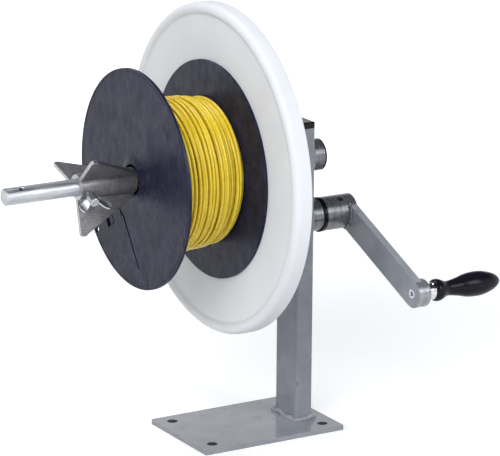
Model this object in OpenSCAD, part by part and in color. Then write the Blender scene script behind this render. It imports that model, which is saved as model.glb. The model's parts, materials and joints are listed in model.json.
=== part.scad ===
// Manual cable winder: a bolted stand that carries a crank, a pair of spur gears
// and a spool shaft with a backing disc, a cable reel and a clamping cone.
// Both shafts lie along X. The reel is on the -X side of the column, called the front,
// and the crank is on the +X side, called the rear. The origin is on the floor, in the
// middle of the four bolt holes. Stations along X are counted from the column's centre.
// Angles round a shaft start at -Y and turn towards +Z.

/* [Base] */
// Length of the base plate, along the shafts
plate_l = 200; // [190:1:240]
// Width of the base plate, across the shafts
plate_w = 140; // [130:1:180]
// Thickness of the base plate
plate_t = 6; // [5:0.5:10]
// Corner radius of the base plate
plate_r = 3; // [1:0.5:10]
// Distance between bolt holes along the shafts
bolt_x = 160; // [140:1:170]
// Distance between bolt holes across the shafts
bolt_y = 100; // [90:1:110]
// Diameter of a bolt hole
bolt_d = 13; // [8:0.5:14]

/* [Column] */
// Distance from the plate's centre to the column's centre
column_x = 68; // [60:1:76]
// Column size along the shafts
column_l = 25; // [20:1:30]
// Column size across the shafts
column_w = 50; // [48:1:60]
// Wall of the column's tube
column_wall = 2.5; // [2:0.5:4]
// Outer corner radius of the column's tube
column_r = 4; // [3:0.5:5]
// Height of the column's top end above the floor
column_top = 382.5; // [378:0.5:400]
// Leg of the weld round the column's foot
foot_weld = 4.5; // [3:0.5:6]
// Height of the cap above the column
cap_h = 8; // [6:0.5:12]
// Radius of the cap's top edges
cap_edge = 3; // [1:0.5:5]
// Depth of the cap's plug inside the column
cap_plug = 12; // [8:1:16]

/* [Bearings] */
// Height of the spool shaft's axis above the floor
shaft_z = 341.5; // [341:0.5:342]
// Outer diameter of a bearing tube
boss_d = 40; // [36:1:41]
// Inner diameter of a bearing tube
boss_bore = 24; // [24:0.5:26]
// Half the length of a bearing tube
boss_half = 30.5; // [26:0.5:30.5]
// Leg of the weld round a bearing tube
boss_weld = 2.5; // [1.5:0.5:3]
// Length of a bush inside its tube
bush_l = 20; // [12:1:24]
// Flange thickness of a bush
bush_flange = 2; // [1:0.5:2]
// Flange thickness of the bush behind the crank's hub
thrust_flange = 4.5; // [3:0.5:4.5]
// Flange diameter of the bush behind the crank's hub
thrust_d = 44; // [40:1:46]
// Radial clearance of every turning or sliding fit
play = 0.05; // [0.02:0.01:0.09]

/* [Spool shaft] */
// Diameter of the spool shaft
shaft_d = 21; // [20:0.5:21.5]
// Station of the shaft's front end
shaft_front = -404.8; // [-420:0.1:-400]
// Station of the shaft's rear end
shaft_rear = 37; // [37:0.5:40]
// Chamfer on the shaft's ends
shaft_chamfer = 1.5; // [0.5:0.5:2]
// Station of the cross hole near the front end
cross_x = -384; // [-390:1:-370]
// Diameter of the cross hole
cross_d = 5.5; // [4:0.5:6]
// Angle of the cross hole round the shaft
cross_angle = 60; // [0:1:180]

/* [Gears] */
// Gear module, the pitch diameter for one tooth
gear_module = 2; // [2]
// Teeth of the gear on the crank's shaft
crank_teeth = 48; // [48]
// Teeth of the gear on the spool shaft
spool_teeth = 30; // [30]
// Pressure angle
pressure_angle = 20; // [20]
// Thinning of each tooth, which gives the backlash
backlash = 0.14; // [0.1:0.02:0.3]
// Face width of both gears
gear_face = 12; // [10:1:12]
// Station of the gears' front faces
gear_x = -53; // [-53:1:-50]
// Length of the gears' hubs behind the teeth
gear_hub_l = 8; // [7:0.5:8]
// Hub diameter of the gear on the crank's shaft
crank_gear_hub = 50; // [40:1:60]
// Hub diameter of the gear on the spool shaft
spool_gear_hub = 44; // [36:1:48]
// Width and height of the gear keys
key_w = 6; // [5:1:6]
// Depth of the keyways in the shafts
key_depth = 3.5; // [3:0.5:4]
// Diameter of the gears' set screws
gear_screw_d = 5; // [4:1:5]

/* [Backing disc] */
// Radius of the backing disc
disc_r = 206; // [190:1:210]
// Station of the disc's flat front face
disc_front = -122; // [-122]
// Wall of the disc
disc_wall = 3; // [2.5:0.5:4]
// Radius of the rounded bead at the disc's edge
bead_r = 8; // [6:0.5:10]
// Distance of the bead's centre behind the disc's front face
bead_set = 4; // [3:0.5:5]
// Depth of the disc's outer wall behind its front face
disc_depth = 19; // [15:1:24]
// Diameter of the flange that carries the disc
disc_flange_d = 110; // [100:1:140]
// Thickness of the flange that carries the disc
disc_flange_t = 6; // [5:0.5:8]
// Diameter of the disc hub's tube
disc_hub_d = 36; // [32:1:40]
// Station of the disc hub's rear end
disc_hub_rear = -80; // [-90:1:-70]
// Diameter of the pin through the disc's hub
hub_pin_d = 6; // [4:1:6]
// Thread diameter of the disc's countersunk screws
disc_screw_d = 6; // [4:1:6]
// Distance of the disc's screws from the shaft's axis
disc_screw_r = 45; // [40:1:47]
// Outer diameter of the spacer between the disc's hub and the gear
spacer_d = 30; // [26:1:34]
// Diameter of the spigot that centres the reel
spigot_d = 36; // [34:0.5:36.5]
// Length of the spigot in front of the disc
spigot_l = 8; // [6:1:10]
// Diameter of the driver pin
driver_d = 10; // [8:1:12]
// Distance of the driver pin from the shaft's axis
driver_r = 34; // [32:1:38]
// Length of the driver pin in front of the disc
driver_l = 18; // [10:1:30]

/* [Reel] */
// Radius of the reel's flanges
reel_r = 135; // [120:1:140]
// Thickness of the reel's flanges
reel_t = 3.8; // [3:0.1:5]
// Station of the front flange's front face
reel_front = -229.8; // [-229.8]
// Gap between the rear flange and the disc
reel_gap = 0.3; // [0.2:0.1:1]
// Radius of the reel's bore
reel_bore = 19; // [18.5:0.1:19.5]
// Height of the collar round the bore, in front of the front flange
bore_collar_h = 3.2; // [3.2]
// Width of the collar's flat front edge
bore_lip = 2; // [1:0.5:4]
// Radius of the collar's sloping foot
bore_collar_r = 34; // [26:0.5:40]
// Outer radius of the drum
drum_r = 50; // [45:1:60]
// Wall of the drum and of the reel's hub
drum_wall = 3; // [2:0.5:4]
// Number of ribs inside the drum
drum_ribs = 6; // [3:1:8]
// Depth of the grooves in the front flange
groove_t = 1.4; // [0.5:0.1:2]
// Width of the channel that the cable's start lies in
channel_w = 3; // [2:0.5:4]
// Distance of the channel from the reel's axis
channel_off = 51; // [50:0.5:54]
// Where the channel starts, measured from the point nearest the axis
channel_from = 12; // [0:1:20]
// Where the channel steps sideways
channel_jog = 25; // [22:1:40]
// Sideways step of the channel
channel_step = 4; // [3:0.5:5]
// Where the channel ends
channel_to = 98; // [60:1:110]
// Angle of the channel's direction
channel_angle = -56; // [-90:1:0]
// Length of the pocket for the cable's end
pocket_l = 10.5; // [8:0.5:12]
// Width of the pocket for the cable's end
pocket_w = 8.4; // [6:0.1:9]
// Depth of the pocket for the cable's end
pocket_t = 3; // [1:0.1:3.2]
// Distance of the pocket from the reel's axis
pocket_at = 94.4; // [90:0.1:98]
// Angle of the pocket round the reel
pocket_angle = -133.3; // [-140:0.1:-120]
// Width of the slot near the rim
slot_w = 6.5; // [4:0.5:7]

/* [Winding] */
// Radius of the winding at the front flange
wind_front_r = 93.5; // [80:0.5:110]
// Radius of the winding in the middle
wind_mid_r = 95; // [80:0.5:110]
// Radius of the winding at the rear flange
wind_rear_r = 90.5; // [80:0.5:110]

/* [Cone] */
// Diameter of the cone's hub
cone_hub_d = 31; // [30:0.5:32]
// Station of the hub's front end
cone_hub_front = -308; // [-308]
// Station of the hub's rear end
cone_hub_rear = -232.5; // [-232.5:0.5:-228]
// Thickness of a fin
fin_t = 5; // [4:0.5:6]
// Angles of the three fins
fin_angles = [43, 163.6, 283]; // [0:0.5:360]
// Radius at the tips of the fins
fin_tip_r = 59.5; // [50:0.5:65]
// Width of the blunt tips
fin_tip_w = 8; // [6:0.5:12]
// Radius of the rounded corners at the tips
fin_round = 3; // [1:0.5:3.5]
// Distance that the fins stand ahead of the hub
fin_lead = 2; // [1:0.5:4]
// Gap between the fins' edges and the reel's bore
fin_seat_gap = 0.25; // [0.1:0.05:0.5]
// Leg of the welds along the fins
fin_weld = 1.8; // [1.5:0.1:4]
// Length of the welds along the fins
fin_weld_l = 30; // [15:1:50]

/* [Wing screw] */
// Station of the wing screw's axis
wing_x = -299; // [-301:0.5:-295]
// Angle of the wing screw's axis
wing_angle = -23; // [-30:1:-14]
// Diameter of the wing screw's thread
wing_thread_d = 8; // [6:1:8]
// Distance from the shaft's axis to the wing screw's collar
wing_collar_at = 22; // [21:0.5:26]
// Diameter of the wing screw's collar
wing_collar_d = 12; // [10:0.5:14]
// Length of the wing screw's collar
wing_collar_l = 12; // [10:0.5:14]
// Distance between the wings' tips
wing_span = 42; // [34:1:44]
// Thickness of a wing
wing_t = 2; // [1.5:0.1:3]
// Depth of the trough that each wing is pressed into
wing_dip = 5.5; // [3:0.5:7]

/* [Crank] */
// Diameter of the crank's shaft
crank_d = 20; // [18:0.5:20]
// Station of the crank shaft's front end
crank_front = -58.5; // [-60:0.5:-58.5]
// Station of the crank hub's rear end
crank_hub_rear = 79; // [75:1:90]
// Diameter of the crank's hub
crank_hub_d = 43; // [40:1:48]
// Distance from the crank's axis to the handle's axis
crank_r = 174; // [150:1:200]
// Angle of the crank's arm in the rest position
crank_angle = -23; // [-90:1:90]
// Width of the arm
arm_w = 35; // [30:1:35]
// Thickness of the arm
arm_t = 10; // [8:1:12]
// Diameter of the boss at the handle
handle_boss_d = 35; // [35:1:40]
// Length of the boss at the handle
handle_boss_l = 19; // [15:1:24]
// Radius of the boss's rear edge
handle_boss_edge = 4; // [1:0.5:4]
// Leg of the weld between hub and arm
arm_weld = 4; // [3:0.5:5]
// Diameter of the set screw in the crank's hub
hub_screw_d = 8; // [5:1:8]
// Distance of the set screw from the hub's rear end
hub_screw_back = 20; // [15:1:25]
// Angle of the set screw round the hub
hub_screw_angle = 63; // [40:1:90]

/* [Grip] */
// Diameter of the spindle's thread in the boss
spindle_thread_d = 12; // [10:1:12]
// Diameter of the spindle's pin inside the grip
spindle_pin_d = 8; // [6:1:8]
// Diameter of the spindle's collar
spindle_collar_d = 22; // [18:1:24]
// Length of the spindle's collar
spindle_collar_l = 11.5; // [8:0.5:14]
// Width across flats of the socket in the spindle's end
socket_af = 6; // [5:1:6]
// Length of the grip
grip_l = 99; // [90:1:110]
// Largest radius of the grip
grip_r = 15.5; // [13:0.5:18]

/* [Hidden] */
$fn = 96;
crank_z = shaft_z - gear_module * (crank_teeth + spool_teeth) / 2;
disc_back = disc_front + disc_wall;
reel_rear_front = disc_front - reel_gap - reel_t;
reel_seat = reel_front - bore_collar_h;
drum_front = reel_front + reel_t;
gear_rear = gear_x + gear_face + gear_hub_l;
key_x = gear_x + 1;
key_l = gear_rear - gear_x - 2;
hub_pin_x = (disc_hub_rear + disc_back) / 2;
circlip_t = 1.2;
washer_t = 1.5;
side_play = 0.2;
groove_depth = 1;
crank_clip_x = gear_x - washer_t;
spool_clip_x = boss_half + bush_flange + side_play + washer_t;
crank_hub_front = boss_half + thrust_flange + side_play;
arm_front = crank_hub_rear - arm_t;
grip_front = arm_front + handle_boss_l + spindle_collar_l + side_play;
pin_in_grip = grip_l - 12;
// Stations and radii of the grip, as shares of its length and its largest radius
GRIP = [[0, 0.8], [0.03, 0.885], [0.07, 0.895], [0.11, 0.82], [0.16, 0.675], [0.225, 0.595],
    [0.36, 0.73], [0.49, 0.93], [0.61, 1], [0.73, 0.96], [0.86, 0.745], [0.94, 0.49], [0.985, 0.23]];
// Trough of a wing, seen along the screw: shares of half the span and of the dip
TROUGH = [[0, 0], [0.25, 0.3], [0.5, 0.82], [0.75, 1], [0.9, 0.82], [1, 0.5]];
// Outline of a wing: shares of half the span, and heights above the collar's end
EAR = [[0.05, -10.5], [0.31, -10.5], [0.62, -8.8], [0.88, -4], [1, 2.5], [0.95, 6], [0.76, 7.4],
    [0.5, 3.6], [0.28, -1.2], [0.05, -2.5]];

// Places children on a shaft's axis, with their Z along the shaft
module on_axis(x, z) {
    translate([column_x + x, 0, z]) rotate([0, 90, 0]) children();
}

// Turns children round the shaft, so that their X points at the angle
module clock(angle) {
    rotate([0, 0, -90 - angle]) children();
}

// Places children on a radius of a shaft, with their Z pointing outwards
module on_radius(x, z, angle) {
    on_axis(x, z) clock(angle) rotate([0, 90, 0]) children();
}

// Ring of one length
module ring(outer_d, inner_d, length) {
    difference() {
        cylinder(d = outer_d, h = length);
        translate([0, 0, -1]) cylinder(d = inner_d, h = length + 2);
    }
}

// Rectangle with round corners
module round_rect(l, w, r) {
    square([l - 2 * r, w], center = true);
    square([l, w - 2 * r], center = true);
    for (x = [-1, 1], y = [-1, 1]) translate([x * (l / 2 - r), y * (w / 2 - r)]) circle(r);
}

// Side view of a block whose two top edges are round
module round_top(w, h, r) {
    translate([-w / 2, 0]) square([w, h - r]);
    translate([-w / 2 + r, 0]) square([w - 2 * r, h]);
    for (x = [-1, 1]) translate([x * (w / 2 - r), h - r]) circle(r);
}

// Points of an arc
function arc(cx, cy, r, from, to, steps) =
    [for (i = [0:steps]) let (a = from + (to - from) * i / steps) [cx + r * cos(a), cy + r * sin(a)]];

// One point of a smooth curve that passes through b and c
function curve_point(a, b, c, d, t) =
    ((2 * b) + (c - a) * t + (2 * a - 5 * b + 4 * c - d) * t * t
    + (3 * b - a - 3 * c + d) * t * t * t) / 2;

// Smooth curve through a list of points
function curve(p, steps) = let (last = len(p) - 1) concat(
    [for (i = [0:last - 1], k = [0:steps - 1])
        curve_point(p[max(i - 1, 0)], p[i], p[i + 1], p[min(i + 2, last)], k / steps)],
    [p[last]]);

// Involute angle, in degrees, for the angle at which the flank meets its radius
function involute(a) = tan(a) * 180 / PI - a;

// Half the angle that a tooth covers at radius r
function tooth_half(r, n) = let (pitch_r = gear_module * n / 2, base_r = pitch_r * cos(pressure_angle))
    (gear_module * PI / 2 - backlash) / 2 / pitch_r * 180 / PI
    + involute(pressure_angle) - involute(acos(min(1, base_r / r)));

// Outline of a spur gear with n teeth, with its first tooth on X
function gear_outline(n) =
    let (pitch_r = gear_module * n / 2, tip_r = pitch_r + gear_module,
        root_r = pitch_r - 1.25 * gear_module,
        start_r = max(root_r, pitch_r * cos(pressure_angle)), steps = 6,
        flank = [for (i = [0:steps]) start_r + (tip_r - start_r) * i / steps],
        radii = concat(start_r > root_r ? [root_r] : [], flank), last = len(radii) - 1)
    [for (tooth = [0:n - 1], side = [-1, 1], k = [0:last])
        let (r = radii[side < 0 ? k : last - k],
            a = tooth * 360 / n + side * tooth_half(max(r, start_r), n))
        [r * cos(a), r * sin(a)]];

module base_plate() {
    color("#9da0a8") difference() {
        linear_extrude(plate_t) round_rect(plate_l, plate_w, plate_r);
        for (x = [-1, 1], y = [-1, 1])
            translate([x * bolt_x / 2, y * bolt_y / 2, -1]) cylinder(d = bolt_d, h = plate_t + 2);
    }
}

module column() {
    color("#8f929a") difference() {
        translate([column_x, 0, plate_t]) linear_extrude(column_top - plate_t) difference() {
            round_rect(column_l, column_w, column_r);
            round_rect(column_l - 2 * column_wall, column_w - 2 * column_wall, column_r - column_wall);
        }
        for (z = [shaft_z, crank_z])
            on_axis(-column_l, z) cylinder(d = boss_d, h = 2 * column_l);
    }
}

// Fillet round the column's foot: four straight beads and four quarter rings
module base_weld() {
    sx = column_l / 2 - column_r;
    sy = column_w / 2 - column_r;
    bead = [[0, 0], [foot_weld, 0], [0, foot_weld]];
    color("#8b8e96") translate([column_x, 0, plate_t]) {
        for (s = [0, 180]) rotate([0, 0, s]) {
            translate([column_l / 2, sy, 0]) rotate([90, 0, 0]) linear_extrude(2 * sy) polygon(bead);
            translate([-sx, column_w / 2, 0]) rotate([90, 0, 90]) linear_extrude(2 * sx) polygon(bead);
            for (side = [0, 1]) translate([side ? -sx : sx, sy, 0]) rotate([0, 0, side * 90])
                rotate_extrude(angle = 90) translate([column_r, 0]) polygon(bead);
        }
    }
}

// Plastic plug whose visible top has round edges, over a ribbed skirt
module column_cap() {
    gap = 0.1;
    in_l = column_l - 2 * (column_wall + gap);
    in_w = column_w - 2 * (column_wall + gap);
    in_r = column_r - column_wall;
    skirt = 1.5;
    color("#1d1d20") translate([column_x, 0, column_top]) {
        intersection() {
            linear_extrude(cap_h) round_rect(column_l, column_w, column_r);
            rotate([90, 0, 0]) linear_extrude(column_w + 2, center = true)
                round_top(column_l, cap_h, cap_edge);
            rotate([90, 0, 90]) linear_extrude(column_l + 2, center = true)
                round_top(column_w, cap_h, cap_edge);
        }
        translate([0, 0, -cap_plug]) linear_extrude(cap_plug + 1) {
            difference() {
                round_rect(in_l, in_w, in_r);
                square([in_l - 2 * skirt, in_w - 2 * skirt], center = true);
            }
            for (y = [-1, 0, 1]) translate([0, y * in_w / 4]) square([in_l, skirt], center = true);
        }
    }
}

module bearing_tube(z) {
    color("#6f727a") on_axis(-boss_half, z) ring(boss_d, boss_bore, 2 * boss_half);
}

module upper_bearing_tube() { bearing_tube(shaft_z); }

module lower_bearing_tube() { bearing_tube(crank_z); }

// Fillets where the bearing tubes pass through the column's front and rear faces
module tube_welds() {
    color("#7a7d85") for (z = [shaft_z, crank_z], side = [0, 1])
        translate([column_x, 0, z]) mirror([side, 0, 0]) translate([column_l / 2, 0, 0])
            rotate([0, 90, 0]) rotate_extrude() translate([boss_d / 2, 0])
                polygon([[0, 0], [boss_weld, 0], [0, boss_weld]]);
}

// Plain bush with a flange outside its tube; side is -1 at the front and 1 at the rear
module bush(z, side, bore_d, flange_d, flange_t) {
    color("#18181a") translate([column_x, 0, z]) rotate([0, side * 90, 0]) translate([0, 0, boss_half])
        difference() {
            union() {
                translate([0, 0, -bush_l]) cylinder(d = boss_bore, h = bush_l);
                cylinder(d = flange_d, h = flange_t);
            }
            translate([0, 0, -bush_l - 1]) cylinder(d = bore_d + 2 * play, h = bush_l + flange_t + 2);
        }
}

module upper_front_bush() { bush(shaft_z, -1, shaft_d, boss_d, bush_flange); }

module upper_rear_bush() { bush(shaft_z, 1, shaft_d, boss_d, bush_flange); }

module lower_front_bush() { bush(crank_z, -1, crank_d, boss_d, bush_flange); }

module lower_rear_bush() { bush(crank_z, 1, crank_d, thrust_d, thrust_flange); }

// Round bar with chamfered ends and a groove for a circlip that starts at station clip
module bar(front, rear, d, chamfer, clip) {
    r = d / 2;
    low = r - groove_depth;
    rotate_extrude() polygon([[0, front], [r - chamfer, front], [r, front + chamfer], [r, clip],
        [low, clip], [low, clip + circlip_t], [r, clip + circlip_t], [r, rear - chamfer],
        [r - chamfer, rear], [0, rear]]);
}

// Space of a key on a shaft of diameter d; extra makes the keyway in a hub a little taller
module key_block(d, extra, front, length) {
    translate([d / 2 - key_depth, -key_w / 2, front]) cube([key_w + extra, key_w, length]);
}

module gear_key(z, d) {
    color("#8d9096") on_axis(key_x, z) clock(90) key_block(d, 0, 0, key_l);
}

// Spur gear with a hub, a keyed bore and a set screw hole over the key
module gear(z, n, d, hub_d, turn) {
    key_gap = 0.3;
    color("#8a8d92") difference() {
        union() {
            on_axis(gear_x, z) clock(turn) linear_extrude(gear_face) polygon(gear_outline(n));
            on_axis(gear_x + gear_face - 1, z) cylinder(d = hub_d, h = gear_hub_l + 1);
        }
        on_axis(gear_x - 1, z) cylinder(d = d, h = gear_face + gear_hub_l + 2);
        on_axis(gear_x - 1, z) clock(90) key_block(d, key_gap, 0, gear_face + gear_hub_l + 2);
        on_radius(gear_rear - gear_hub_l / 2, z, 90) cylinder(d = gear_screw_d, h = hub_d);
    }
}

module gear_screw(z, d, hub_d) {
    seat = d / 2 - key_depth + key_w;
    color("#303033") on_radius(gear_rear - gear_hub_l / 2, z, 90) difference() {
        translate([0, 0, seat]) cylinder(d = gear_screw_d, h = hub_d / 2 - seat - 0.5);
        translate([0, 0, hub_d / 2 - 3]) cylinder(d = 0.55 * gear_screw_d, h = 3, $fn = 6);
    }
}

module washer(x, z, outer_d, d) {
    color("#c4c7cc") on_axis(x, z) ring(outer_d, d + 0.2, washer_t);
}

// Open spring ring in its groove
module circlip(x, z, d) {
    gap = 5;
    color("#4a4b4f") on_axis(x, z) clock(0) difference() {
        ring(d + 3, d - 2 * groove_depth, circlip_t);
        translate([0, -gap / 2, -1]) cube([d, gap, circlip_t + 2]);
    }
}

module spool_shaft() {
    color("#c3c6cb") difference() {
        on_axis(0, shaft_z) bar(shaft_front, shaft_rear, shaft_d, shaft_chamfer, spool_clip_x);
        on_axis(key_x, shaft_z) clock(90) key_block(shaft_d, 0, 0, key_l);
        on_radius(cross_x, shaft_z, cross_angle) {
            cylinder(d = cross_d, h = 2 * shaft_d, center = true);
            for (end = [0, 180]) rotate([end, 0, 0])
                translate([0, 0, shaft_d / 2 - 1]) cylinder(d1 = cross_d, d2 = cross_d + 4, h = 2);
        }
        on_radius(hub_pin_x, shaft_z, 0) cylinder(d = hub_pin_d, h = 2 * shaft_d, center = true);
    }
}

module spool_gear() { gear(shaft_z, spool_teeth, shaft_d, spool_gear_hub, -90 + 180 / spool_teeth); }

module spool_gear_key() { gear_key(shaft_z, shaft_d); }

module spool_gear_screw() { gear_screw(shaft_z, shaft_d, spool_gear_hub); }

module spacer_tube() {
    color("#8a8d92") on_axis(disc_hub_rear, shaft_z) ring(spacer_d, shaft_d, gear_x - disc_hub_rear);
}

// Tube, flange and spigot turned in one piece; the disc is screwed to the flange
module disc_hub() {
    color("#8a8d92") difference() {
        union() {
            on_axis(disc_back, shaft_z) {
                cylinder(d = disc_flange_d, h = disc_flange_t);
                cylinder(d = disc_hub_d, h = disc_hub_rear - disc_back);
            }
            on_axis(disc_front - spigot_l, shaft_z) cylinder(d = spigot_d, h = spigot_l + disc_wall + 1);
        }
        on_axis(disc_front - spigot_l - 1, shaft_z)
            cylinder(d = shaft_d, h = spigot_l + disc_hub_rear - disc_front + 2);
        on_radius(hub_pin_x, shaft_z, 0) cylinder(d = hub_pin_d, h = 2 * disc_hub_d, center = true);
        disc_screw_places()
            translate([0, 0, disc_wall]) cylinder(d = disc_screw_d, h = disc_flange_t + 1);
        on_axis(disc_back, shaft_z) clock(90) translate([driver_r, 0, -1])
            cylinder(d = driver_d, h = disc_flange_t + 2);
    }
}

module disc_hub_pin() {
    color("#9a9da2") on_radius(hub_pin_x, shaft_z, 0)
        cylinder(d = hub_pin_d, h = disc_hub_d - 1, center = true);
}

// Places of the four screws, with Z pointing backwards from the disc's front face
module disc_screw_places() {
    on_axis(disc_front, shaft_z) for (a = [45:90:315]) clock(a)
        translate([disc_screw_r, 0, 0]) children();
}

// Flat disc whose edge is a raised bead with a wall behind it
module backing_disc() {
    edge_r = disc_r - bead_r;
    overlap = 1.2;
    skin = 0.01;
    color("#f2f3f6") difference() {
        on_axis(disc_front, shaft_z) rotate_extrude($fn = 180) {
            translate([spigot_d / 2, 0])
                square([edge_r - bead_r + overlap - spigot_d / 2, disc_wall]);
            translate([edge_r, bead_set]) difference() {
                circle(bead_r);
                circle(bead_r - disc_wall);
                translate([-2 * bead_r, 0]) square([4 * bead_r, 2 * bead_r]);
            }
            translate([disc_r - disc_wall, bead_set])
                square([disc_wall, disc_depth - bead_set - disc_wall / 2]);
            translate([disc_r - disc_wall / 2, disc_depth - disc_wall / 2]) circle(disc_wall / 2);
        }
        disc_screw_places()
            translate([0, 0, -skin]) cylinder(d1 = 2 * disc_screw_d + 2 * skin, d2 = disc_screw_d,
                h = disc_wall + skin);
        on_axis(disc_front - 1, shaft_z) clock(90) translate([driver_r, 0, 0])
            cylinder(d = driver_d, h = disc_wall + 2);
    }
}

module disc_screws() {
    color("#b9bcc1") disc_screw_places() difference() {
        union() {
            cylinder(d1 = 2 * disc_screw_d, d2 = disc_screw_d, h = disc_wall);
            translate([0, 0, disc_wall]) cylinder(d = disc_screw_d, h = disc_flange_t);
        }
        translate([0, 0, -1]) cylinder(d = 2 / 3 * disc_screw_d, h = 0.6 * disc_wall + 1, $fn = 6);
    }
}

module driver_pin() {
    color("#b9bcc1") on_axis(disc_front - driver_l, shaft_z) clock(90) translate([driver_r, 0, 0]) {
        cylinder(d1 = driver_d - 2, d2 = driver_d, h = 1);
        translate([0, 0, 1]) cylinder(d = driver_d, h = driver_l + disc_wall + disc_flange_t - 1);
    }
}

module spool_washer() { washer(spool_clip_x - washer_t, shaft_z, shaft_d + 3, shaft_d); }

module spool_circlip() { circlip(spool_clip_x, shaft_z, shaft_d); }

// Cutter for a groove along a circle between two angles
module arc_groove(r, w, from, to) {
    clock(to) rotate_extrude(angle = to - from) translate([r - w / 2, -1]) square([w, 1 + groove_t]);
}

// Cutter for a straight groove along X
module line_groove(from, to, w) {
    translate([from, -w / 2, -1]) cube([to - from, w, 1 + groove_t]);
}

// Front flange: a sloping collar round the bore, a ring line and a slot near the rim, a channel along the
// drum's tangent with a step in it, and a pocket for the cable's end with a groove on two sides
module reel_front_flange() {
    rim_line = reel_r - 3.7;
    rim_line_w = 0.7;
    rim_line_t = 0.4;
    slot_in = reel_r - 9.5;
    slot_out = reel_r - 5.5;
    slot_angle = -138.2;
    frame_r = 81.2;
    frame_w = 1.5;
    frame_from = -136.5;
    frame_to = -128.6;
    frame_l = 6;
    color("#2b2c33") on_axis(reel_front, shaft_z) difference() {
        union() {
            ring(2 * reel_r, 2 * reel_bore, reel_t);
            translate([0, 0, -bore_collar_h]) difference() {
                cylinder(r1 = reel_bore + bore_lip, r2 = bore_collar_r, h = bore_collar_h + 1);
                translate([0, 0, -1]) cylinder(r = reel_bore, h = bore_collar_h + 3);
            }
        }
        translate([0, 0, -1]) ring(2 * (rim_line + rim_line_w), 2 * rim_line, 1 + rim_line_t);
        clock(channel_angle) {
            translate([0, channel_off + channel_step, 0])
                line_groove(channel_from, channel_jog, channel_w);
            translate([channel_jog, channel_off, 0]) rotate([0, 0, 90])
                line_groove(-channel_w / 2, channel_step + channel_w / 2, channel_w);
            translate([0, channel_off, 0]) line_groove(channel_jog, channel_to, channel_w);
        }
        clock(pocket_angle) translate([pocket_at, 0, pocket_t / 2 - 1])
            rotate([0, 0, pocket_angle - channel_angle])
                cube([pocket_l, pocket_w, pocket_t + 2], center = true);
        arc_groove(frame_r, frame_w, frame_from, frame_to);
        clock(frame_to) line_groove(frame_r, frame_r + frame_l, frame_w);
        clock(slot_angle) translate([0, 0, -1]) {
            for (r = [slot_in, slot_out]) translate([r, 0, 0]) cylinder(d = slot_w, h = reel_t + 2);
            translate([slot_in, -slot_w / 2, 0]) cube([slot_out - slot_in, slot_w, reel_t + 2]);
        }
    }
}

// Drum and inner hub joined by radial ribs
module reel_core() {
    color("#2b2c33") on_axis(drum_front, shaft_z) linear_extrude(reel_rear_front - drum_front) {
        difference() {
            circle(drum_r);
            circle(drum_r - drum_wall);
        }
        difference() {
            circle(reel_bore + drum_wall);
            circle(reel_bore);
        }
        for (i = [0:drum_ribs - 1]) rotate(180 + (i + 0.5) * 360 / drum_ribs)
            translate([reel_bore + 1, -drum_wall / 2]) square([drum_r - reel_bore - 2, drum_wall]);
    }
}

module reel_rear_flange() {
    color("#2b2c33") on_axis(reel_rear_front, shaft_z) difference() {
        ring(2 * reel_r, 2 * reel_bore, reel_t);
        clock(90) translate([driver_r, 0, -1]) cylinder(d = driver_d + 2, h = reel_t + 2);
    }
}

// Outer shape of the wound cable
module wire_winding() {
    length = reel_rear_front - drum_front;
    color("#e2c832") on_axis(drum_front, shaft_z) rotate_extrude() polygon(concat(
        [[drum_r, length - 0.2], [drum_r, 0.2]],
        curve([[wind_front_r, 0.2], [wind_front_r + 1, length * 0.2], [wind_mid_r, length * 0.45],
            [wind_rear_r + 1, length * 0.8], [wind_rear_r, length - 0.2]], 3)));
}

module cone_hub() {
    color("#8b857c") difference() {
        on_axis(cone_hub_front, shaft_z)
            ring(cone_hub_d, shaft_d + 2 * play, cone_hub_rear - cone_hub_front);
        on_radius(wing_x, shaft_z, wing_angle) cylinder(d = wing_thread_d + 2 * play, h = cone_hub_d);
    }
}

// Triangular plate with a blunt round tip, cut to the hub's curve
module cone_fin(i) {
    front = cone_hub_front - fin_lead;
    seat_r = reel_bore - fin_seat_gap;
    slope = (fin_tip_r - seat_r) / (reel_seat - front - fin_tip_w);
    foot_r = cone_hub_d / 2 - 1;
    foot_x = cone_hub_rear - front;
    color("#8b857c") on_axis(front, shaft_z) clock(fin_angles[i]) difference() {
        rotate([90, 0, 0]) linear_extrude(fin_t, center = true) polygon(concat(
            [[foot_r, 0]], [[foot_r, foot_x]], [[seat_r + slope * (reel_seat - cone_hub_rear), foot_x]],
            arc(fin_tip_r - fin_round, fin_tip_w - fin_round + 1, fin_round, 60, 0, 6),
            arc(fin_tip_r - fin_round, fin_round, fin_round, 0, -90, 8)));
        translate([0, 0, -1]) cylinder(d = cone_hub_d, h = foot_x + 2);
    }
}

module cone_fin_1() { cone_fin(0); }

module cone_fin_2() { cone_fin(1); }

module cone_fin_3() { cone_fin(2); }

// Fillets along both sides of each fin, at the hub's front end
module cone_welds() {
    r = cone_hub_d / 2;
    color("#a09a90") on_axis(cone_hub_front, shaft_z) difference() {
        for (angle = fin_angles, side = [-1, 1]) clock(angle)
            linear_extrude(fin_weld_l) polygon([[r - 1, side * fin_t / 2],
                [r + fin_weld, side * fin_t / 2], [r - 1, side * (fin_t / 2 + fin_weld)]]);
        translate([0, 0, -1]) cylinder(d = cone_hub_d, h = fin_weld_l + 2);
    }
}

// Outline of a strip of thickness t along a list of points
function strip(p, t) = let (last = len(p) - 1, side = [for (i = [0:last])
        let (d = p[min(i + 1, last)] - p[max(i - 1, 0)]) [-d.y, d.x] * t / 2 / norm(d)])
    concat([for (i = [0:last]) p[i] + side[i]], [for (i = [last:-1:0]) p[i] - side[i]]);

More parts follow.
